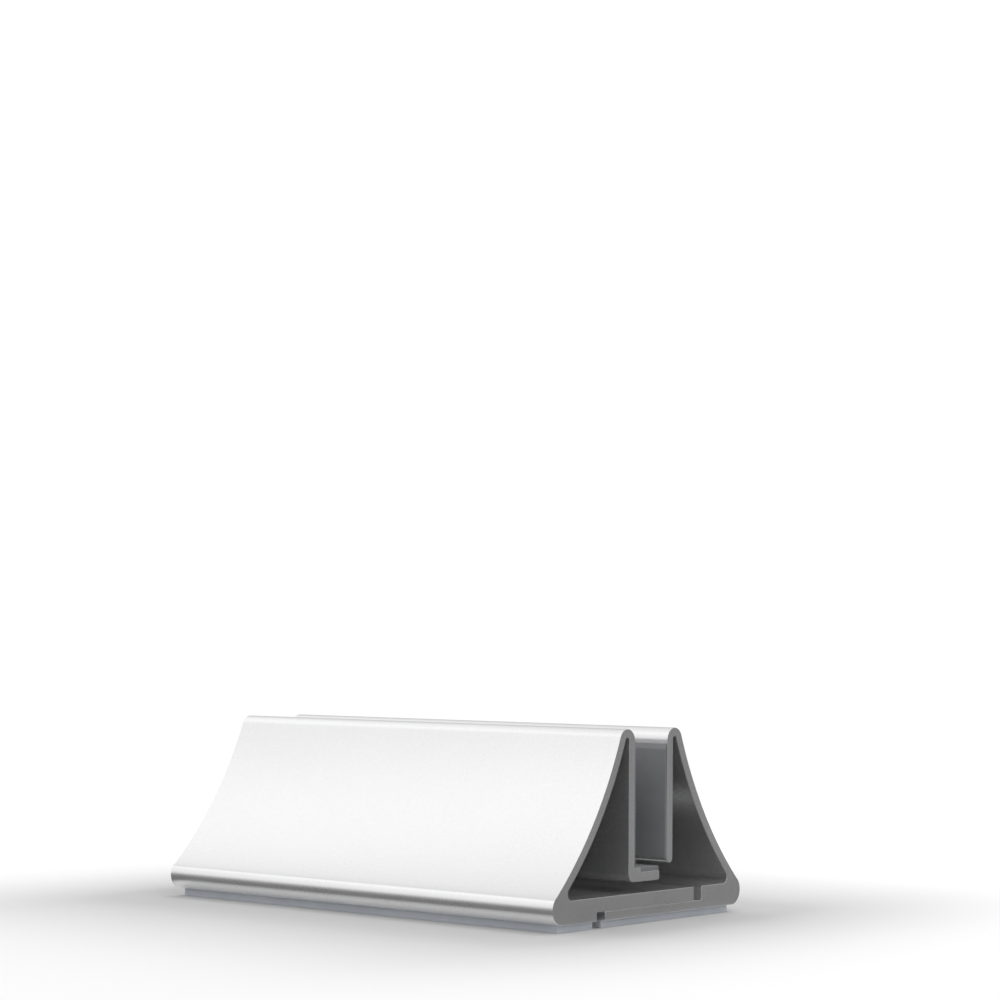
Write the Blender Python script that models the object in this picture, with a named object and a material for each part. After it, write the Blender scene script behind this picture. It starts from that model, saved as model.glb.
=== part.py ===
"""Width-adjustable vertical laptop stand, in metres, +Z up.

Two aluminium extrusions run along X and face each other across a slot.  The front
half carries the ledge and the upper base tongue; the rear half carries the lower
tongue, which slides under it.  Two screws from below, through slots in the lower
tongue, clamp the pair.  Silicone lines the slot and stands under both halves.
The origin is under the middle of the slot, on the surface the stand rests on.
"""
import math

import bmesh
import bpy

MM = 0.001

# Lengths along X
LENGTH = 162.0 * MM
FOOT_PAD_LENGTH = 159.0 * MM
LINER_LENGTH = 161.6 * MM

# Heights
FOOT_PAD = 2.3 * MM          # underside of the metal above the floor
TOUCH_GAP = 0.3 * MM         # clearance between pieces that rest on each other
BASE_THICKNESS = 7.0 * MM
SEAM_HEIGHT = 2.7 * MM       # middle of the seam between the two tongues
METAL_HEIGHT = 56.6 * MM

# Slot for the laptop, between the faces of the two liners
SLOT_WIDTH = 15.0 * MM
LINER_STANDOFF = 0.69 * MM   # liner face to wall face
LINER_GAP = 0.19 * MM        # adhesive film behind a liner

# Curved face: two concentric arcs about one centre, measured from the liner face
FACE_CENTRE = (-125.41 * MM, 98.63 * MM)
FACE_RADIUS = 125.44 * MM
FACE_THICKNESS = 2.83 * MM
WALL_THICKNESS = 2.96 * MM
APEX_RADIUS = 3.85 * MM
APEX_INNER_RADIUS = 0.9 * MM
HEEL_RADIUS = 2.0 * MM
NOSE_CENTRE_Y = -35.47 * MM
NOSE_RADIUS = 4.68 * MM

# Ledge under the laptop, on the front wall only
LEDGE_BOTTOM = 10.4 * MM
LEDGE_TOP = 13.3 * MM
LEDGE_REACH = 11.92 * MM
LIP_TOP = 14.65 * MM
LIP_REACH = 2.6 * MM
LEDGE_HEEL_RADIUS = 2.7 * MM
REAR_WALL_BOTTOM = 15.2 * MM
LINER_TOP = 51.7 * MM
LINER_TAPER = 1.6 * MM

# Base tongues, measured from the front liner face
TONGUE_GAP = 4.0 * MM
UPPER_TONGUE_END = 30.05 * MM
LOWER_TONGUE_END = -15.05 * MM

# Clamp screws (M4) and the slots that they run in
SCREW_X = 45.0 * MM
SCREW_Y = 10.0 * MM
SCREW_RADIUS = 1.95 * MM
SCREW_TOP = 6.3 * MM
THREAD_HOLE_RADIUS = 2.25 * MM
HEAD_RADIUS = 3.8 * MM
HEAD_HEIGHT = 1.3 * MM
SOCKET_ACROSS_FLATS = 2.5 * MM
SOCKET_DEPTH = 1.6 * MM
WASHER_RADIUS = 4.2 * MM
WASHER_BORE = 2.25 * MM
WASHER_THICKNESS = 0.5 * MM
SLOT_HALF_WIDTH = 2.3 * MM
RECESS_HALF_WIDTH = 4.8 * MM
RECESS_DEPTH = 1.2 * MM
WINDOW_HALF_WIDTH = 5.4 * MM
TRAVEL_OPEN = 12.0 * MM
TRAVEL_CLOSE = 3.7 * MM

# Feet
FOOT_FRONT_Y = -35.3 * MM
FOOT_CORNER = 1.2 * MM

ARC_STEP = math.radians(9.0)
FACE_STEPS = 18


def remove_all():
    for obj in list(bpy.data.objects):
        bpy.data.objects.remove(obj, do_unlink=True)


def material(name, colour, roughness, metallic=0.0):
    mat = bpy.data.materials.new(name)
    mat.use_nodes = True
    shader = mat.node_tree.nodes["Principled BSDF"]
    shader.inputs["Base Color"].default_value = (*colour, 1.0)
    shader.inputs["Roughness"].default_value = roughness
    shader.inputs["Metallic"].default_value = metallic
    return mat


def arc(centre, radius, start, end, steps=None):
    """Points on an arc from the start angle to the end angle, in degrees."""
    start = math.radians(start)
    end = math.radians(end)
    if steps is None:
        steps = max(2, math.ceil(abs(end - start) / ARC_STEP))
    points = []
    for i in range(steps + 1):
        a = start + (end - start) * i / steps
        points.append((centre[0] + radius * math.cos(a), centre[1] + radius * math.sin(a)))
    return points


def angle_to(centre, point):
    return math.degrees(math.atan2(point[1] - centre[1], point[0] - centre[0]))


def tangent_centre_at_y(y, radius, reach):
    """Centre at the given Y of a circle that touches the face arc of radius reach."""
    cy, cz = FACE_CENTRE
    return (y, cz - math.sqrt((reach + radius) ** 2 - (y - cy) ** 2))


def tangent_centre_at_z(z, radius, reach):
    cy, cz = FACE_CENTRE
    return (cy + math.sqrt((reach + radius) ** 2 - (z - cz) ** 2), z)


def nose_to_apex():
    """Outer skin of a half, from under the nose, over the face and apex, to the wall."""
    nose = (NOSE_CENTRE_Y, NOSE_RADIUS)
    apex = tangent_centre_at_y(-LINER_STANDOFF - APEX_RADIUS, APEX_RADIUS, FACE_RADIUS)
    # The nose stands a little proud of the face, so the two meet in a shallow crease.
    span = math.dist(nose, FACE_CENTRE)
    cosine = (span ** 2 + NOSE_RADIUS ** 2 - FACE_RADIUS ** 2) / (2.0 * span * NOSE_RADIUS)
    crease_angle = angle_to(nose, FACE_CENTRE) - math.degrees(math.acos(cosine))
    points = arc(nose, NOSE_RADIUS, 270.0, crease_angle)
    crease = points[-1]
    low = angle_to(FACE_CENTRE, crease)
    high = angle_to(FACE_CENTRE, apex)
    points += arc(FACE_CENTRE, FACE_RADIUS, low, high, FACE_STEPS)[1:]
    points += arc(apex, APEX_RADIUS, high + 180.0, 0.0)[1:]
    return points


def cavity():
    """Inner skin of a half, from the base floor, up the face and down to the wall."""
    reach = FACE_RADIUS + FACE_THICKNESS
    wall_y = -LINER_STANDOFF - WALL_THICKNESS
    heel = tangent_centre_at_z(BASE_THICKNESS + HEEL_RADIUS, HEEL_RADIUS, reach)
    apex = tangent_centre_at_y(wall_y - APEX_INNER_RADIUS, APEX_INNER_RADIUS, reach)
    low = angle_to(FACE_CENTRE, heel)
    high = angle_to(FACE_CENTRE, apex)
    points = arc(heel, HEEL_RADIUS, 270.0, low + 180.0)
    points += arc(FACE_CENTRE, reach, low, high, FACE_STEPS)[1:]
    points += arc(apex, APEX_INNER_RADIUS, high + 180.0, 0.0)[1:]
    return points


def front_outline():
    """Closed outline of the front extrusion, anticlockwise seen along +X reversed."""
    wall_y = -LINER_STANDOFF - WALL_THICKNESS
    tongue_bottom = SEAM_HEIGHT + TOUCH_GAP / 2.0
    heel = (wall_y + LEDGE_HEEL_RADIUS, LEDGE_BOTTOM + LEDGE_HEEL_RADIUS)
    points = nose_to_apex()
    points += [
        (-LINER_STANDOFF, LIP_TOP),
        (LIP_REACH, LIP_TOP),
        (LIP_REACH, LEDGE_TOP),
        (LEDGE_REACH, LEDGE_TOP),
        (LEDGE_REACH, LEDGE_BOTTOM),
    ]
    points += arc(heel, LEDGE_HEEL_RADIUS, 270.0, 180.0)
    points += list(reversed(cavity()))
    points += [
        (UPPER_TONGUE_END, BASE_THICKNESS),
        (UPPER_TONGUE_END, tongue_bottom),
        (LOWER_TONGUE_END - TONGUE_GAP, tongue_bottom),
        (LOWER_TONGUE_END - TONGUE_GAP, 0.0),
    ]
    return points


def rear_outline():
    """Closed outline of the rear extrusion: the front one's shell mirrored across the slot."""
    wall_y = -LINER_STANDOFF - WALL_THICKNESS
    tongue_top = SEAM_HEIGHT - TOUCH_GAP / 2.0
    rounding = WALL_THICKNESS / 2.0
    foot = ((wall_y - LINER_STANDOFF) / 2.0, REAR_WALL_BOTTOM + rounding)
    shell = nose_to_apex()
    shell += arc(foot, rounding, 0.0, -180.0)
    shell += list(reversed(cavity()))
    points = [(SLOT_WIDTH - y, z) for y, z in shell]
    points += [
        (UPPER_TONGUE_END + TONGUE_GAP, BASE_THICKNESS),
        (UPPER_TONGUE_END + TONGUE_GAP, tongue_top),
        (LOWER_TONGUE_END, tongue_top),
        (LOWER_TONGUE_END, 0.0),
    ]
    return points


def place(point):
    """Section point, from the front liner face and the metal's underside, to the world."""
    return (point[0] - SLOT_WIDTH / 2.0, point[1] + FOOT_PAD)


def link(name, mesh, mat, location=(0.0, 0.0, 0.0)):
    obj = bpy.data.objects.new(name, mesh)
    obj.location = location
    if mat is not None:
        mesh.materials.append(mat)
    bpy.context.scene.collection.objects.link(obj)
    return obj


def finish_mesh(name, bm, sharp_angle):
    bmesh.ops.recalc_face_normals(bm, faces=bm.faces)
    mesh = bpy.data.meshes.new(name)
    bm.to_mesh(mesh)
    bm.free()
    mesh.shade_smooth()
    mesh.set_sharp_from_angle(angle=math.radians(sharp_angle))
    return mesh


def prism(name, outline, axis, low, high, sharp_angle=20.0):
    """Solid with a flat outline, pushed out along X or Z from low to high."""
    bm = bmesh.new()
    if axis == "X":
        verts = [bm.verts.new((low, a, b)) for a, b in outline]
        push = (high - low, 0.0, 0.0)
    else:
        verts = [bm.verts.new((a, b, low)) for a, b in outline]
        push = (0.0, 0.0, high - low)
    face = bm.faces.new(verts)
    grown = bmesh.ops.extrude_face_region(bm, geom=[face])
    moved = [v for v in grown["geom"] if isinstance(v, bmesh.types.BMVert)]
    bmesh.ops.translate(bm, verts=moved, vec=push)
    bmesh.ops.triangulate(bm, faces=bm.faces)
    return finish_mesh(name, bm, sharp_angle)


def turned(name, profile, segments):
    """Solid of revolution about Z from (radius, z) points, closed on the axis or as a ring."""
    bm = bmesh.new()
    verts = [bm.verts.new((r, 0.0, z)) for r, z in profile]
    edges = [bm.edges.new(pair) for pair in zip(verts, verts[1:])]
    if profile[0][0] > 0.0:
        edges.append(bm.edges.new((verts[-1], verts[0])))
    bmesh.ops.spin(
        bm,
        geom=verts + edges,
        cent=(0.0, 0.0, 0.0),
        axis=(0.0, 0.0, 1.0),
        angle=2.0 * math.pi,
        steps=segments,
        use_merge=True,
        use_duplicate=False,
    )
    bmesh.ops.remove_doubles(bm, verts=bm.verts, dist=1e-6)
    bmesh.ops.triangulate(bm, faces=bm.faces)
    return finish_mesh(name, bm, 30.0)


def stadium(half_width, y_low, y_high, x, steps=8):
    """Outline of a slot along Y whose round ends are centred on y_low and y_high."""
    points = []
    for centre_y, start in ((y_high, 0.0), (y_low, 180.0)):
        for i in range(steps + 1):
            a = math.radians(start + 180.0 * i / steps)
            points.append((x + half_width * math.cos(a), centre_y + half_width * math.sin(a)))
    return points


def polygon(radius, sides, x, y, turn=0.0):
    points = []
    for i in range(sides):
        a = turn + 2.0 * math.pi * i / sides
        points.append((x + radius * math.cos(a), y + radius * math.sin(a)))
    return points


def rounded_rectangle(x_half, y_low, y_high, radius, steps=4):
    points = []
    corners = (
        (x_half - radius, y_high - radius, 0.0),
        (radius - x_half, y_high - radius, 90.0),
        (radius - x_half, y_low + radius, 180.0),
        (x_half - radius, y_low + radius, 270.0),
    )
    for cx, cy, start in corners:
        for i in range(steps + 1):
            a = math.radians(start + 90.0 * i / steps)
            points.append((cx + radius * math.cos(a), cy + radius * math.sin(a)))
    return points


def cut(obj, name, mesh):
    """Subtract a mesh from an object, both in the object's own frame."""
    cutter = link(name, mesh, None, obj.location)
    cutter.hide_render = True
    cutter.display_type = "WIRE"
    mod = obj.modifiers.new(name, "BOOLEAN")
    mod.operation = "DIFFERENCE"
    mod.solver = "EXACT"
    mod.object = cutter


def screw_places():
    return (("left", -SCREW_X), ("right", SCREW_X))


def make_brackets(metal):
    half = LENGTH / 2.0
    screw_y = SCREW_Y - SLOT_WIDTH / 2.0
    front = [place(p) for p in front_outline()]
    rear = [place(p) for p in rear_outline()]
    front_obj = link("front_bracket", prism("front_bracket", front, "X", -half, half), metal)
    rear_obj = link("rear_bracket", prism("rear_bracket", rear, "X", -half, half), metal)
    for side, x in screw_places():
        hole = polygon(THREAD_HOLE_RADIUS, 24, x, screw_y)
        top = FOOT_PAD + BASE_THICKNESS
        cut(front_obj, f"cut_thread_{side}", prism(f"cut_thread_{side}", hole, "Z", 0.0, top + MM))
        slot = stadium(SLOT_HALF_WIDTH, screw_y - TRAVEL_OPEN, screw_y + TONGUE_GAP, x)
        recess = stadium(RECESS_HALF_WIDTH, screw_y - TRAVEL_OPEN, screw_y + TONGUE_GAP, x)
        seam = FOOT_PAD + SEAM_HEIGHT
        cut(rear_obj, f"cut_slot_{side}", prism(f"cut_slot_{side}", slot, "Z", 0.0, seam + MM))
        floor = FOOT_PAD + RECESS_DEPTH
        cut(rear_obj, f"cut_recess_{side}", prism(f"cut_recess_{side}", recess, "Z", 0.0, floor))


def make_liners(silicone):
    half = LINER_LENGTH / 2.0
    back = -LINER_STANDOFF + LINER_GAP
    front_low = LIP_TOP + TOUCH_GAP
    rear_low = REAR_WALL_BOTTOM + WALL_THICKNESS / 2.0
    for name, low, mirror in (("front_wall_pad", front_low, False), ("rear_wall_pad", rear_low, True)):
        outline = [(back, low), (0.0, low), (0.0, LINER_TOP - LINER_TAPER), (back, LINER_TOP)]
        if mirror:
            outline = [(SLOT_WIDTH - y, z) for y, z in outline]
        outline = [place(p) for p in outline]
        link(name, prism(name, outline, "X", -half, half), silicone)
    strip = [
        (LIP_REACH + TOUCH_GAP, LEDGE_TOP + TOUCH_GAP),
        (LEDGE_REACH, LEDGE_TOP + TOUCH_GAP),
        (LEDGE_REACH, LIP_TOP),
        (LIP_REACH + TOUCH_GAP, LIP_TOP),
    ]
    strip = [place(p) for p in strip]
    link("ledge_pad", prism("ledge_pad", strip, "X", -half, half), silicone)


def make_feet(silicone):
    half = FOOT_PAD_LENGTH / 2.0
    top = FOOT_PAD - TOUCH_GAP
    shift = SLOT_WIDTH / 2.0
    front_low = FOOT_FRONT_Y - shift
    front_high = LOWER_TONGUE_END - TONGUE_GAP - shift
    outline = rounded_rectangle(half, front_low, front_high, FOOT_CORNER)
    link("front_foot_pad", prism("front_foot_pad", outline, "Z", 0.0, top), silicone)
    outline = rounded_rectangle(half, LOWER_TONGUE_END - shift, -front_low, FOOT_CORNER)
    rear = link("rear_foot_pad", prism("rear_foot_pad", outline, "Z", 0.0, top), silicone)
    screw_y = SCREW_Y - shift
    for side, x in screw_places():
        window = stadium(WINDOW_HALF_WIDTH, screw_y - TRAVEL_OPEN, screw_y + TONGUE_GAP, x)
        name = f"cut_window_{side}"
        cut(rear, name, prism(name, window, "Z", -MM, FOOT_PAD + MM))


def make_screws(steel):
    screw_y = SCREW_Y - SLOT_WIDTH / 2.0
    washer_top = RECESS_DEPTH - TOUCH_GAP
    head_top = washer_top - WASHER_THICKNESS - TOUCH_GAP
    head_bottom = head_top - HEAD_HEIGHT
    shank = SCREW_TOP - head_bottom
    edge = 0.4 * MM
    profile = [(0.0, 0.0), (HEAD_RADIUS - 2.0 * edge, 0.0)]
    profile += [(HEAD_RADIUS - 0.6 * edge, 0.4 * edge), (HEAD_RADIUS, 1.4 * edge)]
    profile += [(HEAD_RADIUS, HEAD_HEIGHT), (SCREW_RADIUS, HEAD_HEIGHT)]
    profile += [(SCREW_RADIUS, shank - edge), (SCREW_RADIUS - edge, shank), (0.0, shank)]
    socket_radius = SOCKET_ACROSS_FLATS / math.sqrt(3.0)
    socket = polygon(socket_radius, 6, 0.0, 0.0)
    ring = [
        (WASHER_BORE, 0.0),
        (WASHER_RADIUS, 0.0),
        (WASHER_RADIUS, WASHER_THICKNESS),
        (WASHER_BORE, WASHER_THICKNESS),
    ]
    for side, x in screw_places():
        name = f"clamp_screw_{side}"
        place_at = (x, screw_y, FOOT_PAD + head_bottom)
        screw = link(name, turned(name, profile, 32), steel, place_at)
        cutter = f"cut_socket_{side}"
        cut(screw, cutter, prism(cutter, socket, "Z", -MM, SOCKET_DEPTH))
        name = f"clamp_washer_{side}"
        place_at = (x, screw_y, FOOT_PAD + washer_top - WASHER_THICKNESS)
        link(name, turned(name, ring, 32), steel, place_at)


def main():
    remove_all()
    metal = material("anodised_aluminium", (0.80, 0.80, 0.81), 0.36, 1.0)
    liner = material("liner_silicone", (0.50, 0.51, 0.53), 0.62)
    foot = material("foot_silicone", (0.42, 0.44, 0.48), 0.55)
    steel = material("screw_steel", (0.55, 0.55, 0.56), 0.30, 1.0)
    make_brackets(metal)
    make_liners(liner)
    make_feet(foot)
    make_screws(steel)


main()
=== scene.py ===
"""Looks for the width-adjustable vertical laptop stand.

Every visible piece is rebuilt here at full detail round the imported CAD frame: the two
blasted and anodised extrusions with broken edges, the silicone liners, strip and feet,
and the clamp screws with their washers.  Sections are drawn in (y, z) with y measured
from the front liner's face and z from the underside of the metal, as in a die drawing.
"""

import math

import bmesh
import bpy
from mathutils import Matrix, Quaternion, Vector


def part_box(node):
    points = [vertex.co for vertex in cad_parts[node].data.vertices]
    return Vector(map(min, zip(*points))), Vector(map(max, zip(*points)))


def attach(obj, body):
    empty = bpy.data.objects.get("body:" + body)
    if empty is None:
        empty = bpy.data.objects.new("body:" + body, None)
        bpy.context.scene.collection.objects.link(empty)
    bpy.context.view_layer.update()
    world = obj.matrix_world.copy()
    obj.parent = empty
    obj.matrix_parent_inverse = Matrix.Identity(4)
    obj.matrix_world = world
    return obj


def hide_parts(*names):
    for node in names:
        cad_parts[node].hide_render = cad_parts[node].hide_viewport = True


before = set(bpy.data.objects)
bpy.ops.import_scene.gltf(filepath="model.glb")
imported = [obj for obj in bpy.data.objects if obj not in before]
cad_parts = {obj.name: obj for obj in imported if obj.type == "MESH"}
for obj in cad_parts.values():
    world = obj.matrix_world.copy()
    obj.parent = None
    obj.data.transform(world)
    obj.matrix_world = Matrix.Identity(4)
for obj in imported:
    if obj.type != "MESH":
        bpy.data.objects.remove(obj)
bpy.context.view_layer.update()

MM = 0.001

# ---------------------------------------------------------------- dimensions

LENGTH = 162.0 * MM
LINER_LENGTH = 161.6 * MM
FOOT_LENGTH = 159.0 * MM
FOOT = 2.3 * MM
BASE = 7.0 * MM
SEAM = 2.7 * MM
SLIP = 0.03 * MM             # half the play between the tongues

SLOT = 15.0 * MM
MIDDLE = SLOT / 2.0          # y of the object's middle in the sections
STANDOFF = 0.69 * MM
WALL = 2.96 * MM
FACE_CENTRE = (-125.41 * MM, 98.63 * MM)
FACE_RADIUS = 125.44 * MM
FACE_SHEET = 2.83 * MM
APEX_RADIUS = 3.851 * MM
APEX_INNER = 0.9 * MM
HEEL_RADIUS = 2.0 * MM
NOSE = (-35.47 * MM, 4.665 * MM)
NOSE_RADIUS = 4.665 * MM
CREASE_Z = 9.93 * MM         # above the table

LEDGE_BOTTOM = 10.4 * MM
LEDGE_TOP = 13.3 * MM
LEDGE_REACH = 11.92 * MM
LIP_TOP = 14.65 * MM
LIP_REACH = 2.6 * MM
LEDGE_HEEL = 2.7 * MM
REAR_WALL_END = 15.2 * MM
LINER_TOP = 51.7 * MM
LINER_TAPER = 1.6 * MM

TONGUE_GAP = 4.0 * MM
UPPER_END = 30.05 * MM
LOWER_END = -15.05 * MM
FOOT_FRONT = -35.3 * MM

SCREWS = (("left", -45.0 * MM), ("right", 45.0 * MM))
SCREW_Y = 10.0 * MM - MIDDLE
HOLE_RADIUS = 2.02 * MM
SLOT_RADIUS = 2.3 * MM
RECESS_RADIUS = 4.8 * MM
RECESS_DEPTH = 1.2 * MM
WINDOW_RADIUS = 5.4 * MM
OPEN_TRAVEL = 12.0 * MM
CLOSE_TRAVEL = 4.0 * MM

BREAK = 0.13 * MM            # edge break left by deburring
CORNER = 0.35 * MM           # corner radius of the extrusion die
FLARE = 0.2 * MM             # edge break at the mouth of a hole
OVERSHOOT = 0.6 * MM         # how far a cutter stands out of the metal
BED = 0.01 * MM              # clearance behind a pad
SHARP = math.radians(28.0)   # steeper edges are shaded sharp

# ---------------------------------------------------------------- light and camera

# brightness of the room by the sine of the elevation
ROOM = (
    (-1.0, 0.24),
    (-0.10, 0.24),
    (0.0, 0.36),
    (0.07, 0.46),
    (0.18, 1.10),
    (0.30, 1.20),
    (0.47, 1.20),
    (0.60, 1.40),
    (0.68, 1.42),
    (0.76, 1.32),
    (0.85, 1.06),
    (0.92, 0.78),
    (1.0, 0.70),
)
ROOM_TOP = 2.0
FLAG_START, FLAG_END = 0.05, 0.65    # y of the directions between which the room dims
BACK_FLAG = 0.60                     # share of the brightness left at the back
BACKDROP = 1.02

KEY_DIRECTION = (0.0, 0.64, 0.77)
KEY_TARGET = (0.0, 0.0, 0.03)
KEY_DISTANCE = 1.3
KEY_SIZE = 1.3
KEY_POWER = 7.2

# painted shadow: brightness of the floor as the camera sees it by the distance from the
# object's outline
TABLE = (
    (0.0, 0.62),
    (0.015, 0.62),
    (0.045, 0.72),
    (0.085, 0.84),
    (0.13, 0.94),
    (0.2, 1.0),
)
TABLE_END_STRETCH = 1.6              # how much sooner that shade ends past the cut ends
OUTLINE = (("X", LENGTH / 2.0), ("Y", 47.0 * MM))
FLOOR_RADIUS = 0.9
FLOOR_FADE = (0.22, 0.60)

CAMERA_PLACE = (0.5462, -0.6272, 0.0844)
CAMERA_AIM = (-0.6419, 0.7647, 0.0562)
CAMERA_ROLL = math.radians(0.53)
CAMERA_LENS = 91.56
CAMERA_SENSOR = 36.0


# ---------------------------------------------------------------- sections

def arc(centre, radius, start, end, step=4.0, steps=None):
    count = steps or max(3, math.ceil(abs(end - start) / step))
    points = []
    for i in range(count + 1):
        a = math.radians(start + (end - start) * i / count)
        points.append((centre[0] + radius * math.cos(a), centre[1] + radius * math.sin(a)))
    return points


def angle_to(centre, point):
    return math.degrees(math.atan2(point[1] - centre[1], point[0] - centre[0]))


def centre_under_face(y, reach):
    return (y, FACE_CENTRE[1] - math.sqrt(reach ** 2 - (y - FACE_CENTRE[0]) ** 2))


def centre_beside_face(z, reach):
    return (FACE_CENTRE[0] + math.sqrt(reach ** 2 - (z - FACE_CENTRE[1]) ** 2), z)


def outer_skin():
    """From under the nose, over the face and the apex, to the top of the wall."""
    apex = centre_under_face(-STANDOFF - APEX_RADIUS, FACE_RADIUS + APEX_RADIUS)
    span = math.dist(NOSE, FACE_CENTRE)
    cosine = (span ** 2 + NOSE_RADIUS ** 2 - FACE_RADIUS ** 2) / (2.0 * span * NOSE_RADIUS)
    crease = angle_to(NOSE, FACE_CENTRE) + math.degrees(math.acos(cosine))
    points = arc(NOSE, NOSE_RADIUS, 270.0, crease)
    low = angle_to(FACE_CENTRE, points[-1])
    high = angle_to(FACE_CENTRE, apex)
    dense = low + 1.6        # finer steps up to here, for the shade above the crease
    points += arc(FACE_CENTRE, FACE_RADIUS, low, dense, steps=6)[1:]
    points += arc(FACE_CENTRE, FACE_RADIUS, dense, high, steps=54)[1:]
    points += arc(apex, APEX_RADIUS, high + 180.0, 0.0)[1:]
    return points


def inner_skin():
    """From the base's floor, up the inside of the face, and down to the wall."""
    reach = FACE_RADIUS + FACE_SHEET
    wall = -STANDOFF - WALL
    heel = centre_beside_face(BASE + HEEL_RADIUS, reach + HEEL_RADIUS)
    apex = centre_under_face(wall - APEX_INNER, reach + APEX_INNER)
    low = angle_to(FACE_CENTRE, heel)
    high = angle_to(FACE_CENTRE, apex)
    points = arc(heel, HEEL_RADIUS, 270.0, low + 180.0, step=8.0)
    points += arc(FACE_CENTRE, reach, low, high, steps=40)[1:]
    points += arc(apex, APEX_INNER, high + 180.0, 0.0, step=15.0)[1:]
    return points


def front_section():
    wall = -STANDOFF - WALL
    under = SEAM + SLIP
    heel = (wall + LEDGE_HEEL, LEDGE_BOTTOM + LEDGE_HEEL)
    return (
        outer_skin()
        + [
            (-STANDOFF, LIP_TOP, CORNER),
            (LIP_REACH, LIP_TOP, CORNER),
            (LIP_REACH, LEDGE_TOP, CORNER),
            (LEDGE_REACH, LEDGE_TOP, CORNER),
            (LEDGE_REACH, LEDGE_BOTTOM, 2.0 * CORNER),
        ]
        + arc(heel, LEDGE_HEEL, 270.0, 180.0, step=8.0)
        + inner_skin()[::-1]
        + [
            (UPPER_END, BASE, CORNER),
            (UPPER_END, under, CORNER),
            (LOWER_END - TONGUE_GAP, under, CORNER),
            (LOWER_END - TONGUE_GAP, 0.0, CORNER),
        ]
    )


def rear_section():
    wall = -STANDOFF - WALL
    over = SEAM - SLIP
    foot = ((wall - STANDOFF) / 2.0, REAR_WALL_END + WALL / 2.0)
    shell = outer_skin()
    shell += arc(foot, WALL / 2.0, 0.0, -180.0, step=10.0)
    shell += inner_skin()[::-1]
    return [(SLOT - y, z) for y, z in shell] + [
        (UPPER_END + TONGUE_GAP, BASE, CORNER),
        (UPPER_END + TONGUE_GAP, over, CORNER),
        (LOWER_END, over, CORNER),
        (LOWER_END, 0.0, CORNER),
    ]


def soften(points, steps=4):
    """Rounds the corners that carry a radius. Returns points and, for each, its arc or 0."""
    share = 0.45             # most of a side that one rounding may take
    made, arcs = [], []
    n = len(points)
    for i, point in enumerate(points):
        here = Vector(point[:2])
        if len(point) < 3:
            made.append(here)
            arcs.append(0)
            continue
        before = Vector(points[i - 1][:2]) - here
        after = Vector(points[(i + 1) % n][:2]) - here
        opening = before.angle(after)
        reach = point[2] / math.tan(opening / 2.0)
        reach = min(reach, share * before.length, share * after.length)
        radius = reach * math.tan(opening / 2.0)
        bisector = (before.normalized() + after.normalized()).normalized()
        centre = here + bisector * (radius / math.sin(opening / 2.0))
        first = here + before.normalized() * reach - centre
        last = here + after.normalized() * reach - centre
        turn = first.angle_signed(last)
        for k in range(steps + 1):
            a = -turn * k / steps
            c, s = math.cos(a), math.sin(a)
            spoke = Vector((first.x * c - first.y * s, first.x * s + first.y * c))
            made.append(centre + spoke)
            arcs.append(i + 1)
    return made, arcs


def inset(points, amount):
    """Points moved inside a closed outline by an amount, square to its sides."""
    n = len(points)
    area = sum(points[i - 1].x * points[i].y - points[i].x * points[i - 1].y for i in range(n))
    side = 1.0 if area > 0.0 else -1.0
    moved = []
    for i, here in enumerate(points):
        a = (here - points[i - 1]).normalized()
        b = (points[(i + 1) % n] - here).normalized()
        na = Vector((-a.y, a.x)) * side
        nb = Vector((-b.y, b.x)) * side
        moved.append(here + (na + nb) * (amount / (1.0 + na.dot(nb))))
    return moved


# ---------------------------------------------------------------- mesh making

def new_object(name, bm, materials, sharp=SHARP):
    bmesh.ops.recalc_face_normals(bm, faces=bm.faces)
    mesh = bpy.data.meshes.new(name)
    bm.to_mesh(mesh)
    bm.free()
    for mat in materials:
        mesh.materials.append(mat)
    mesh.shade_smooth()
    mesh.set_sharp_from_angle(angle=sharp)
    obj = bpy.data.objects.new(name, mesh)
    bpy.context.scene.collection.objects.link(obj)
    return obj


def join_rows(bm, a, b):
    """Band of faces between two closed rows of equal count. Returns the faces."""
    n = len(a)
    faces = []
    for i in range(n):
        j = (i + 1) % n
        faces.append(bm.faces.new((a[i], a[j], b[j], b[i])))
    return faces


def ring_row(bm, centre, radii, z):
    """Closed row of vertices round a vertical axis, one for each radius."""
    row = []
    for i, r in enumerate(radii):
        a = 2.0 * math.pi * i / len(radii)
        place = (centre[0] + r * math.cos(a), centre[1] + r * math.sin(a), z)
        row.append(bm.verts.new(place))
    return row


def loft(bm, rings, edge_test=None):
    """Closed skin over rings with equal counts. edge_test(ring, point) picks slot 1."""
    rows = [[bm.verts.new(p) for p in ring] for ring in rings]
    for r, (a, b) in enumerate(zip(rows, rows[1:])):
        for i, face in enumerate(join_rows(bm, a, b)):
            if edge_test and edge_test(r, i):
                face.material_index = 1
    bm.faces.new(rows[0])
    bm.faces.new(rows[-1])


def rounding(amount, steps):
    """(inset, depth) pairs of a quarter round of that radius, from its rim inwards."""
    pairs = []
    for k in range(steps + 1):
        a = math.radians(90.0 * k / steps)
        pairs.append((amount * (1.0 - math.sin(a)), amount * (1.0 - math.cos(a))))
    return pairs


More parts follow.
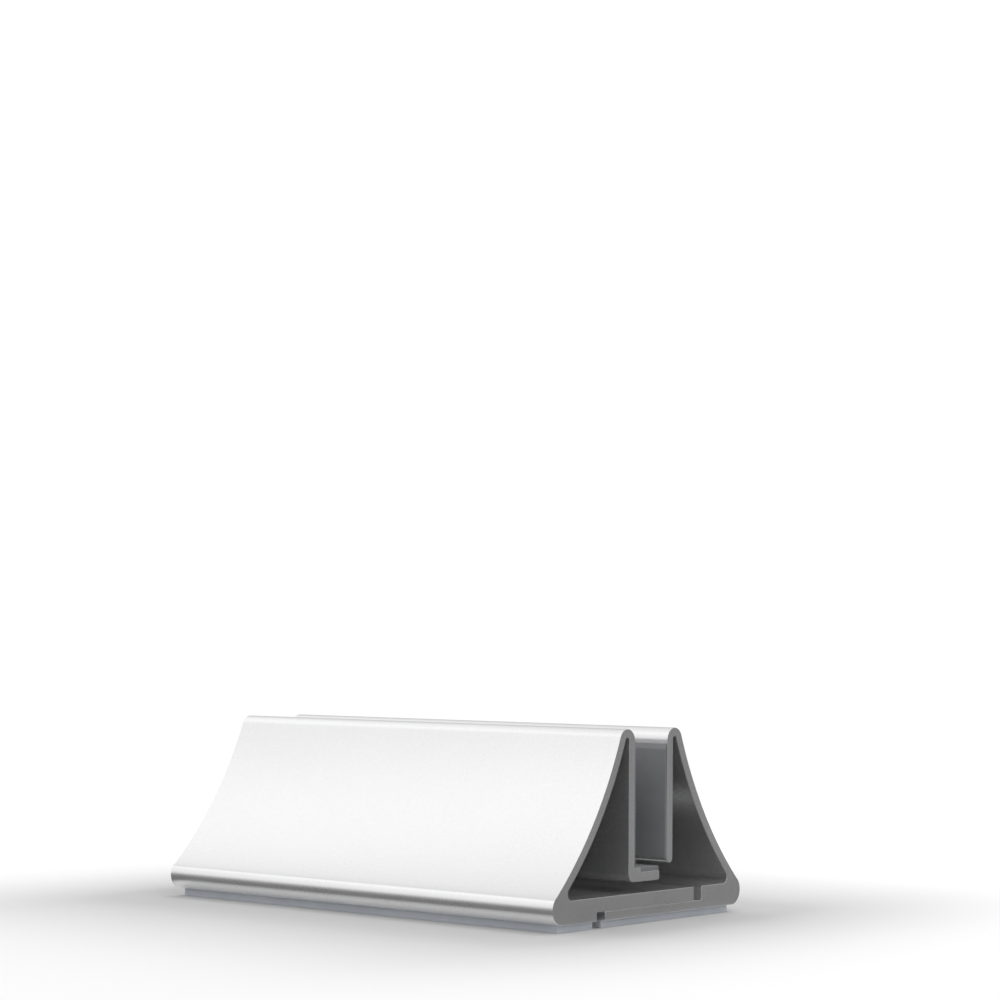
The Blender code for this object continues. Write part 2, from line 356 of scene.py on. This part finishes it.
def extrude_section(name, section, length, materials, edge=BREAK):
    """Section pushed out along X with both cut ends deburred."""
    points, arcs = soften(section)
    n = len(points)
    half = length / 2.0
    rings = []
    for shrink, back in rounding(edge, 3):
        rings.append([(-half + back, p.x, p.y) for p in inset(points, shrink)])
    middle = len(rings) - 1
    rings += [[(-x, y, z) for x, y, z in ring] for ring in reversed(rings)]

    def on_edge(r, i):
        rounded = arcs[i] != 0 and arcs[i] == arcs[(i + 1) % n]
        return r != middle or rounded

    bm = bmesh.new()
    loft(bm, rings, on_edge)
    bmesh.ops.translate(bm, verts=bm.verts, vec=Vector((0.0, -MIDDLE, FOOT)))
    return new_object(name, bm, materials)


def mark_painted_crease_shade(obj):
    """Stores how deep in the hollow above its nose each point of the face lies, 0 to 1, as the
    mask of the painted shade along the crease.
    """
    centre = (FACE_CENTRE[0] - MIDDLE, FACE_CENTRE[1] + FOOT)
    low = math.asin((centre[1] - CREASE_Z) / FACE_RADIUS)
    on_face, at_crease = 0.1 * MM, 0.01 * MM
    fades = ((0.62, 8.0 * MM), (0.38, 0.8 * MM))     # (share, distance) of each falloff
    layer = obj.data.attributes.new("hollow", "FLOAT", "POINT")
    for vertex, item in zip(obj.data.vertices, layer.data):
        y, z = -abs(vertex.co.y), vertex.co.z
        off = math.dist((y, z), centre) - FACE_RADIUS
        if abs(off) > on_face or z < CREASE_Z - at_crease:
            item.value = 0.0
            continue
        up = (low - math.asin((centre[1] - z) / FACE_RADIUS)) * FACE_RADIUS
        item.value = sum(share * math.exp(-up / reach) for share, reach in fades)


def stadium(half, y_low, y_high, x):
    points = []
    for centre, start in ((y_high, 0.0), (y_low, 180.0)):
        points += arc((x, centre), half, start, start + 180.0, steps=20)
    return points


def rounded_rectangle(x_half, y_low, y_high, radius):
    points = []
    for cx, cy, start in (
        (x_half - radius, y_high - radius, 0.0),
        (radius - x_half, y_high - radius, 90.0),
        (radius - x_half, y_low + radius, 180.0),
        (x_half - radius, y_low + radius, 270.0),
    ):
        points += arc((cx, cy), radius, start, start + 90.0, steps=8)
    return points


def round_hole(x, radius):
    """Shape of a cutter round a screw, by how much it grows."""
    return lambda grow: arc((x, SCREW_Y), radius + grow, 0.0, 360.0, steps=48)[:-1]


def long_hole(x, radius):
    """The same along the whole travel of the screw."""
    low, high = SCREW_Y - OPEN_TRAVEL, SCREW_Y + CLOSE_TRAVEL
    return lambda grow: stadium(radius + grow, low, high, x)


def cutter(name, shape, levels):
    """Closed tool through (z, growth) levels of a shape."""
    bm = bmesh.new()
    loft(bm, [[(x, y, z) for x, y in shape(grow)] for z, grow in levels])
    return new_object(name, bm, [])


def cutter_through(name, shape, low, high, flare=FLARE):
    """Cutter whose ends flare, so both mouths of the hole come out with broken edges."""
    mouth = flare + OVERSHOOT
    levels = (
        (low - OVERSHOOT, mouth),
        (low + flare, 0.0),
        (high - flare, 0.0),
        (high + OVERSHOOT, mouth),
    )
    return cutter(name, shape, levels)


def cutter_blind(name, shape, low, floor):
    """Cutter for a recess that opens downwards, with a small bevel round its floor."""
    levels = (
        (low - OVERSHOOT, FLARE + OVERSHOOT),
        (low + FLARE, 0.0),
        (floor - FLARE, 0.0),
        (floor, -FLARE),
    )
    return cutter(name, shape, levels)


def carve(obj, cutters):
    """Subtracts the cutters for good and marks the sharp edges again."""
    for tool in cutters:
        mod = obj.modifiers.new(tool.name, "BOOLEAN")
        mod.operation = "DIFFERENCE"
        mod.solver = "EXACT"
        mod.object = tool
    depsgraph = bpy.context.evaluated_depsgraph_get()
    mesh = bpy.data.meshes.new_from_object(obj.evaluated_get(depsgraph))
    obj.modifiers.clear()
    old = obj.data
    obj.data = mesh
    bpy.data.meshes.remove(old)
    for tool in cutters:
        bpy.data.objects.remove(tool, do_unlink=True)
    mesh.shade_smooth()
    mesh.set_sharp_from_angle(angle=SHARP)


def even_normals(obj):
    mod = obj.modifiers.new("even_normals", "WEIGHTED_NORMAL")
    mod.keep_sharp = True
    mod.weight = 100


# ---------------------------------------------------------------- materials

def noise(tree, coords, scale, detail=2.0, rough=0.5, stretch=None):
    if stretch is not None:
        mapping = tree.nodes.new("ShaderNodeMapping")
        mapping.inputs["Scale"].default_value = stretch
        tree.links.new(coords, mapping.inputs["Vector"])
        coords = mapping.outputs["Vector"]
    node = tree.nodes.new("ShaderNodeTexNoise")
    node.inputs["Scale"].default_value = scale
    node.inputs["Detail"].default_value = detail
    node.inputs["Roughness"].default_value = rough
    tree.links.new(coords, node.inputs["Vector"])
    return node.outputs["Fac"]


def remap(tree, value, low, high, out_low, out_high):
    node = tree.nodes.new("ShaderNodeMapRange")
    node.inputs["From Min"].default_value = low
    node.inputs["From Max"].default_value = high
    node.inputs["To Min"].default_value = out_low
    node.inputs["To Max"].default_value = out_high
    tree.links.new(value, node.inputs["Value"])
    return node.outputs["Result"]


def vary(tree, value, low, high, swing=0.2):
    """A noise's usual swing round one half, stretched to run from low to high."""
    return remap(tree, value, 0.5 - swing, 0.5 + swing, low, high)


def math_node(tree, kind, a, b):
    node = tree.nodes.new("ShaderNodeMath")
    node.operation = kind
    for socket, value in zip(node.inputs, (a, b)):
        if isinstance(value, (int, float)):
            socket.default_value = value
        else:
            tree.links.new(value, socket)
    return node.outputs[0]


def curve_node(tree, value, stops, low, high, top):
    """Smooth curve through (value, level) stops, for values low to high and levels 0 to top."""
    node = tree.nodes.new("ShaderNodeFloatCurve")
    points = node.mapping.curves[0].points
    places = [((at - low) / (high - low), level / top) for at, level in stops]
    points[0].location, points[1].location = places[0], places[-1]
    for place in places[1:-1]:
        points.new(*place)
    for point in points:
        point.handle_type = "AUTO_CLAMPED"
    node.mapping.update()
    tree.links.new(remap(tree, value, low, high, 0.0, 1.0), node.inputs["Value"])
    return math_node(tree, "MULTIPLY", node.outputs[0], top)


def mix_colours(tree, fac, a, b):
    """Mix of two colours, each a plain (r, g, b) or another node's output."""
    node = tree.nodes.new("ShaderNodeMix")
    node.data_type = "RGBA"
    tree.links.new(fac, node.inputs["Factor"])
    for socket, colour in ((node.inputs["A"], a), (node.inputs["B"], b)):
        if isinstance(colour, tuple):
            socket.default_value = (*colour, 1.0)
        else:
            tree.links.new(colour, socket)
    return node.outputs["Result"]


def bump(tree, height, distance, strength, after=None):
    node = tree.nodes.new("ShaderNodeBump")
    node.inputs["Strength"].default_value = strength
    node.inputs["Distance"].default_value = distance
    tree.links.new(height, node.inputs["Height"])
    if after is not None:
        tree.links.new(after, node.inputs["Normal"])
    return node.outputs["Normal"]


def new_material(name):
    """Material with its node tree, its shader and the object's own coordinates."""
    mat = bpy.data.materials.new(name)
    mat.use_nodes = True
    tree = mat.node_tree
    coords = tree.nodes.new("ShaderNodeTexCoord").outputs["Object"]
    return mat, tree, tree.nodes["Principled BSDF"], coords


def anodised(name, light, dark, rough, spread, grain):
    """Bead-blasted, clear anodised aluminium: fine even grain under a soft satin."""
    mat, tree, shader, coords = new_material(name)
    fine = noise(tree, coords, 4800.0)
    pits = noise(tree, coords, 2400.0)
    grit = noise(tree, coords, 1100.0, rough=0.6)
    cloud = noise(tree, coords, 38.0, rough=0.4)
    wave = noise(tree, coords, 14.0, 1.0, 0.4, (0.35, 1.0, 1.0))
    tone = vary(tree, cloud, 0.25, 0.75)
    tone = math_node(tree, "ADD", tone, vary(tree, grit, -0.6, 0.6))
    colour = mix_colours(tree, tone, dark, light)
    # painted shade: the face is darkened up to 30% towards grey along the crease above the
    # nose, by the hollow value
    hollow = tree.nodes.new("ShaderNodeAttribute")
    hollow.attribute_name = "hollow"
    painted_crease_shade = math_node(tree, "MULTIPLY", hollow.outputs["Fac"], 0.30)
    colour = mix_colours(tree, painted_crease_shade, colour, (0.25, 0.25, 0.25))
    tree.links.new(colour, shader.inputs["Base Color"])
    roughness = vary(tree, cloud, rough - spread, rough + spread, 0.25)
    speckle = vary(tree, fine, -0.02, 0.02)
    tree.links.new(math_node(tree, "ADD", roughness, speckle), shader.inputs["Roughness"])
    normal = bump(tree, wave, 0.02 * MM, 0.15)
    normal = bump(tree, pits, 0.006 * MM, grain, normal)
    normal = bump(tree, fine, 0.004 * MM, grain, normal)
    tree.links.new(normal, shader.inputs["Normal"])
    shader.inputs["Metallic"].default_value = 0.9
    return mat


def silicone(name, light, dark, rough, glow):
    """Moulded silicone: matt skin with a faint orange peel, a little translucent."""
    mat, tree, shader, coords = new_material(name)
    peel = noise(tree, coords, 1500.0)
    skin = noise(tree, coords, 4200.0, rough=0.6)
    cloud = noise(tree, coords, 60.0, 3.0, 0.6)
    colour = mix_colours(tree, vary(tree, cloud, 0.0, 1.0), dark, light)
    tree.links.new(colour, shader.inputs["Base Color"])
    roughness = vary(tree, cloud, rough - 0.05, rough + 0.05)
    tree.links.new(roughness, shader.inputs["Roughness"])
    normal = bump(tree, peel, 0.012 * MM, 0.5)
    normal = bump(tree, skin, 0.005 * MM, 0.6, normal)
    tree.links.new(normal, shader.inputs["Normal"])
    shader.inputs["IOR"].default_value = 1.41
    shader.inputs["Subsurface Weight"].default_value = glow
    shader.inputs["Subsurface Radius"].default_value = (1.0, 1.0, 1.1)
    shader.inputs["Subsurface Scale"].default_value = 1.2 * MM
    return mat


def plated_steel(name):
    """Bright zinc plate over a turned blank."""
    mat, tree, shader, coords = new_material(name)
    cloud = noise(tree, coords, 420.0, 3.0, 0.6)
    fine = noise(tree, coords, 6000.0, rough=0.6)
    tone = vary(tree, cloud, 0.0, 1.0, 0.15)
    colour = mix_colours(tree, tone, (0.50, 0.50, 0.49), (0.62, 0.62, 0.63))
    tree.links.new(colour, shader.inputs["Base Color"])
    tree.links.new(vary(tree, cloud, 0.22, 0.36), shader.inputs["Roughness"])
    tree.links.new(bump(tree, fine, 0.004 * MM, 0.6), shader.inputs["Normal"])
    shader.inputs["Metallic"].default_value = 1.0
    return mat


# ---------------------------------------------------------------- pieces

def settle(piece, body, node):
    even_normals(piece)
    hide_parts(node)
    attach(piece, body)


def make_extrusions():
    metal = anodised(
        "anodised_face",
        light=(0.92, 0.92, 0.925),
        dark=(0.89, 0.89, 0.895),
        rough=0.29,
        spread=0.012,
        grain=0.8,
    )
    rim = anodised(
        "anodised_edge",
        light=(0.95, 0.95, 0.95),
        dark=(0.91, 0.91, 0.915),
        rough=0.25,
        spread=0.03,
        grain=0.5,
    )
    front = extrude_section("front_extrusion", front_section(), LENGTH, [metal, rim])
    rear = extrude_section("rear_extrusion", rear_section(), LENGTH, [metal, rim])
    shoulder = FOOT + RECESS_DEPTH
    seam = FOOT + SEAM
    holes, slots = [], []
    for side, x in SCREWS:
        hole = round_hole(x, HOLE_RADIUS)
        slot = long_hole(x, SLOT_RADIUS)
        recess = long_hole(x, RECESS_RADIUS)
        holes.append(cutter_through(f"hole_{side}", hole, seam, FOOT + BASE))
        slots.append(cutter_through(f"slot_{side}", slot, shoulder, seam))
        slots.append(cutter_blind(f"recess_{side}", recess, FOOT, shoulder))
    carve(front, holes)
    carve(rear, slots)
    mark_painted_crease_shade(front)
    mark_painted_crease_shade(rear)
    settle(front, "front_half", "front_bracket")
    settle(rear, "rear_half", "rear_bracket")


def make_liners():
    skin = silicone(
        "liner_rubber",
        light=(0.30, 0.305, 0.315),
        dark=(0.25, 0.255, 0.265),
        rough=0.60,
        glow=0.08,
    )
    back = -STANDOFF + BED
    for name, body, node, low, mirrored in (
        ("front_liner", "front_half", "front_wall_pad", LIP_TOP + 0.3 * MM, False),
        ("rear_liner", "rear_half", "rear_wall_pad", REAR_WALL_END + WALL / 2.0, True),
    ):
        section = [
            (back, low),
            (0.0, low, 0.2 * MM),
            (0.0, LINER_TOP - LINER_TAPER, 1.5 * MM),
            (-STANDOFF + 0.12 * MM, LINER_TOP, 0.1 * MM),
            (back, LINER_TOP),
        ]
        if mirrored:
            section = [(SLOT - p[0], *p[1:]) for p in section]
        liner = extrude_section(name, section, LINER_LENGTH, [skin, skin], 0.12 * MM)
        settle(liner, body, node)
    near, far = LIP_REACH + 0.35 * MM, LEDGE_REACH - 0.15 * MM
    strip = [
        (near, LEDGE_TOP + BED),
        (far, LEDGE_TOP + BED),
        (far, LIP_TOP, 0.3 * MM),
        (near, LIP_TOP, 0.3 * MM),
    ]
    piece = extrude_section("ledge_strip", strip, LINER_LENGTH, [skin, skin], 0.2 * MM)
    settle(piece, "front_half", "ledge_pad")


def foot_block(name, y_low, y_high, skin):
    """Pad between two values of y, its lower edge rounded."""
    corner = 0.5 * MM
    half = FOOT_LENGTH / 2.0
    edge = 0.1 * MM
    levels = rounding(edge, 4) + [(0.0, FOOT - BED)]
    rings = []
    for shrink, z in levels:
        outline = rounded_rectangle(
            half - shrink, y_low + shrink, y_high - shrink, corner - shrink
        )
        rings.append([(x, y, z) for x, y in outline])
    bm = bmesh.new()
    loft(bm, rings)
    return new_object(name, bm, [skin])


def make_feet():
    skin = silicone(
        "foot_rubber",
        light=(0.56, 0.59, 0.635),
        dark=(0.50, 0.53, 0.575),
        rough=0.48,
        glow=0.15,
    )
    edge = FOOT_FRONT - MIDDLE
    front = foot_block("front_foot", edge, LOWER_END - TONGUE_GAP - MIDDLE, skin)
    rear = foot_block("rear_foot", LOWER_END - MIDDLE, -edge, skin)
    windows = []
    for side, x in SCREWS:
        window = long_hole(x, WINDOW_RADIUS)
        windows.append(cutter_through(f"window_{side}", window, 0.0, FOOT, 0.3 * MM))
    carve(rear, windows)
    settle(front, "front_half", "front_foot_pad")
    settle(rear, "rear_half", "rear_foot_pad")


def hexagon(radius, count):
    """Distances from a hexagon's middle to its outline at even steps round it."""
    step = 2.0 * math.pi / 6.0
    radii = []
    for i in range(count):
        a = 2.0 * math.pi * i / count
        radii.append(radius * math.cos(step / 2.0) / math.cos((a % step) - step / 2.0))
    return radii


def screw_mesh(name, centre, base, steel):
    """Low button-head socket screw standing head down, with a cut thread."""
    count = 48
    head_radius, head, top = 3.8 * MM, 1.58 * MM, 7.5 * MM
    crown, crown_height, crown_steps = 0.95 * MM, 0.75 * MM, 8
    pitch, major, minor = 0.7 * MM, 1.95 * MM, 1.58 * MM
    socket = 2.5 * MM / math.sqrt(3.0)           # 2.5 mm across the flats
    depth = 1.9 * MM
    bm = bmesh.new()
    rows = []

    def ring(radius, z):
        rows.append(ring_row(bm, centre, [radius] * count, base + z))

    ring(0.35 * MM, depth + 0.35 * MM)
    rows.append(ring_row(bm, centre, hexagon(socket * 0.98, count), base + depth))
    rows.append(ring_row(bm, centre, hexagon(socket, count), base + 0.18 * MM))
    ring(socket + 0.22 * MM, 0.0)
    ring(head_radius - crown, 0.0)
    for k in range(1, crown_steps + 1):
        a = math.radians(90.0 * k / crown_steps)
        radius = head_radius - crown * (1.0 - math.sin(a))
        ring(radius, crown_height * (1.0 - math.cos(a)))
    ring(head_radius, head - 0.1 * MM)
    ring(head_radius - 0.1 * MM, head)
    ring(minor + 0.25 * MM, head)
    ring(minor, head + 0.2 * MM)
    start, end = head + 0.3 * MM, top - 0.25 * MM
    run_out = 0.6 * pitch
    flank, crest = 2.3, 1.25                     # how steep the thread is, and how blunt
    levels = int((end - start) / pitch * 10)     # ten levels to a turn
    for k in range(levels + 1):
        z = start + (end - start) * k / levels
        fade = max(0.0, min(1.0, (z - start) / pitch, (end - z) / run_out))
        radii = []
        for i in range(count):
            phase = (z / pitch - i / count) % 1.0
            height = max(0.0, 1.0 - abs(phase - 0.5) * flank)
            radii.append(minor + (major - minor) * min(1.0, height * crest) * fade)
        rows.append(ring_row(bm, centre, radii, base + z))
    ring(minor - 0.3 * MM, top)
    for low, high in zip(rows, rows[1:]):
        join_rows(bm, low, high)
    bm.faces.new(rows[0])
    bm.faces.new(rows[-1])
    return new_object(name, bm, [steel], math.radians(35.0))


def washer_mesh(name, centre, steel):
    """Flat washer with nicked edges, clear of the recess's floor."""
    count = 64
    inner, outer, nick = 2.2 * MM, 4.2 * MM, 0.12 * MM
    bottom, top = FOOT + 0.4 * MM, FOOT + 1.18 * MM
    bm = bmesh.new()
    rows = []
    for radius, z in (
        (inner + nick, bottom),
        (outer - nick, bottom),
        (outer, bottom + nick),
        (outer, top - nick),
        (outer - nick, top),
        (inner + nick, top),
        (inner, top - nick),
        (inner, bottom + nick),
    ):
        rows.append(ring_row(bm, centre, [radius] * count, z))
    for low, high in zip(rows, rows[1:] + rows[:1]):
        join_rows(bm, low, high)
    return new_object(name, bm, [steel])


def make_screws():
    steel = plated_steel("zinc_steel")
    for side, x in SCREWS:
        centre = (x, SCREW_Y)
        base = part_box(f"clamp_screw_{side}")[0][2]
        screw = screw_mesh(f"screw_{side}", centre, base, steel)
        settle(screw, f"screw_{side}", f"clamp_screw_{side}")
        washer = washer_mesh(f"washer_{side}", centre, steel)
        settle(washer, f"washer_{side}", f"clamp_washer_{side}")


# ---------------------------------------------------------------- stage

def mix_shaders(tree, fac, a, b, output):
    """Ends a tree in the mix of two shaders."""
    mix = tree.nodes.new("ShaderNodeMixShader")
    tree.links.new(fac, mix.inputs["Fac"])
    tree.links.new(a.outputs[0], mix.inputs[1])
    tree.links.new(b.outputs[0], mix.inputs[2])
    end = tree.nodes.new(output)
    tree.links.new(mix.outputs[0], end.inputs["Surface"])


def grey(tree, value):
    """Colour with the same value in each channel."""
    node = tree.nodes.new("ShaderNodeCombineColor")
    for channel in ("Red", "Green", "Blue"):
        tree.links.new(value, node.inputs[channel])
    return node.outputs[0]


def length_of(tree, steps):
    """Length of a step whose parts along X and Y are given."""
    squares = [math_node(tree, "POWER", step, 2.0) for step in steps]
    return math_node(tree, "SQRT", math_node(tree, "ADD", *squares), 0.0)


def floor_material():
    """Table with a painted shadow that follows the distance from the object's outline.

    Light and reflections meet a darker one, with painted light in a strip along the outline and
    further out.
    """
    mat = bpy.data.materials.new("pale_floor")
    mat.use_nodes = True
    tree = mat.node_tree
    tree.nodes.clear()
    coords = tree.nodes.new("ShaderNodeTexCoord").outputs["Object"]
    split = tree.nodes.new("ShaderNodeSeparateXYZ")
    tree.links.new(coords, split.inputs[0])
    past = []
    for axis, half in OUTLINE:
        off = math_node(tree, "ABSOLUTE", split.outputs[axis], 0.0)
        off = math_node(tree, "SUBTRACT", off, half)
        past.append(math_node(tree, "MAXIMUM", off, 0.0))
    gap = length_of(tree, past)
    # painted light: for light and reflections the floor is dark, lighter in a strip right along
    # the outline standing in for bounced light, and lighter again far out
    near = remap(tree, gap, 3.0 * MM, 8.5 * MM, 0.78, 0.14)
    away = remap(tree, gap, 90.0 * MM, 400.0 * MM, 0.0, 0.30)
    met = grey(tree, math_node(tree, "ADD", near, away))
    # painted shadow: the floor the camera sees is darker towards the object's outline, and this
    # ends sooner past the cut ends
    past[0] = math_node(tree, "MULTIPLY", past[0], TABLE_END_STRETCH)
    shade = curve_node(tree, length_of(tree, past), TABLE, 0.0, TABLE[-1][0], 1.0)
    path = tree.nodes.new("ShaderNodeLightPath")
    colour = mix_colours(tree, path.outputs["Is Camera Ray"], met, grey(tree, shade))
    diffuse = tree.nodes.new("ShaderNodeBsdfDiffuse")
    tree.links.new(colour, diffuse.inputs["Color"])
    clear = tree.nodes.new("ShaderNodeBsdfTransparent")
    radius = tree.nodes.new("ShaderNodeVectorMath")
    radius.operation = "LENGTH"
    tree.links.new(coords, radius.inputs[0])
    fade = remap(tree, radius.outputs["Value"], *FLOOR_FADE, 0.0, 1.0)
    mix_shaders(tree, fade, diffuse, clear, "ShaderNodeOutputMaterial")
    return mat


def make_floor():
    """Pale round floor that thins out into the white surroundings."""
    bm = bmesh.new()
    bmesh.ops.create_circle(bm, cap_ends=True, segments=96, radius=FLOOR_RADIUS)
    new_object("floor", bm, [floor_material()])


def make_world():
    """White backdrop, and a soft room for light and reflections.

    The room is dim along the horizon and at the back, and brightest halfway up.
    """
    world = bpy.data.worlds.new("studio")
    bpy.context.scene.world = world
    world.use_nodes = True
    tree = world.node_tree
    tree.nodes.clear()
    seen = tree.nodes.new("ShaderNodeBackground")
    seen.inputs["Color"].default_value = (1.0, 1.0, 1.0, 1.0)
    seen.inputs["Strength"].default_value = BACKDROP
    room = tree.nodes.new("ShaderNodeBackground")
    coords = tree.nodes.new("ShaderNodeTexCoord").outputs["Generated"]
    split = tree.nodes.new("ShaderNodeSeparateXYZ")
    tree.links.new(coords, split.inputs[0])
    level = curve_node(tree, split.outputs["Z"], ROOM, -1.0, 1.0, ROOM_TOP)
    flag = remap(tree, split.outputs["Y"], FLAG_START, FLAG_END, 1.0, BACK_FLAG)
    tree.links.new(math_node(tree, "MULTIPLY", level, flag), room.inputs["Strength"])
    path = tree.nodes.new("ShaderNodeLightPath")
    mix_shaders(tree, path.outputs["Is Camera Ray"], room, seen, "ShaderNodeOutputWorld")


def make_key():
    """Large softbox above and behind, which isn't mirrored in the metal."""
    light = bpy.data.lights.new("key", "AREA")
    light.shape = "RECTANGLE"
    light.size = light.size_y = KEY_SIZE
    light.energy = KEY_POWER
    obj = bpy.data.objects.new("key", light)
    away = Vector(KEY_DIRECTION).normalized()
    obj.location = Vector(KEY_TARGET) + away * KEY_DISTANCE
    obj.rotation_mode = "QUATERNION"
    obj.rotation_quaternion = (-away).to_track_quat("-Z", "Y")
    obj.visible_camera = False
    obj.visible_glossy = False
    bpy.context.scene.collection.objects.link(obj)


def make_camera():
    data = bpy.data.cameras.new("camera")
    data.sensor_width = CAMERA_SENSOR
    data.lens = CAMERA_LENS
    data.clip_start, data.clip_end = 0.01, 50.0
    camera = bpy.data.objects.new("camera", data)
    camera.location = CAMERA_PLACE
    roll = Quaternion((0.0, 0.0, 1.0), CAMERA_ROLL)
    camera.rotation_mode = "QUATERNION"
    camera.rotation_quaternion = Vector(CAMERA_AIM).to_track_quat("-Z", "Y") @ roll
    bpy.context.scene.collection.objects.link(camera)
    bpy.context.scene.camera = camera


make_extrusions()
make_liners()
make_feet()
make_screws()
make_floor()
make_world()
make_key()
make_camera()
bpy.context.scene.view_settings.view_transform = "Standard"
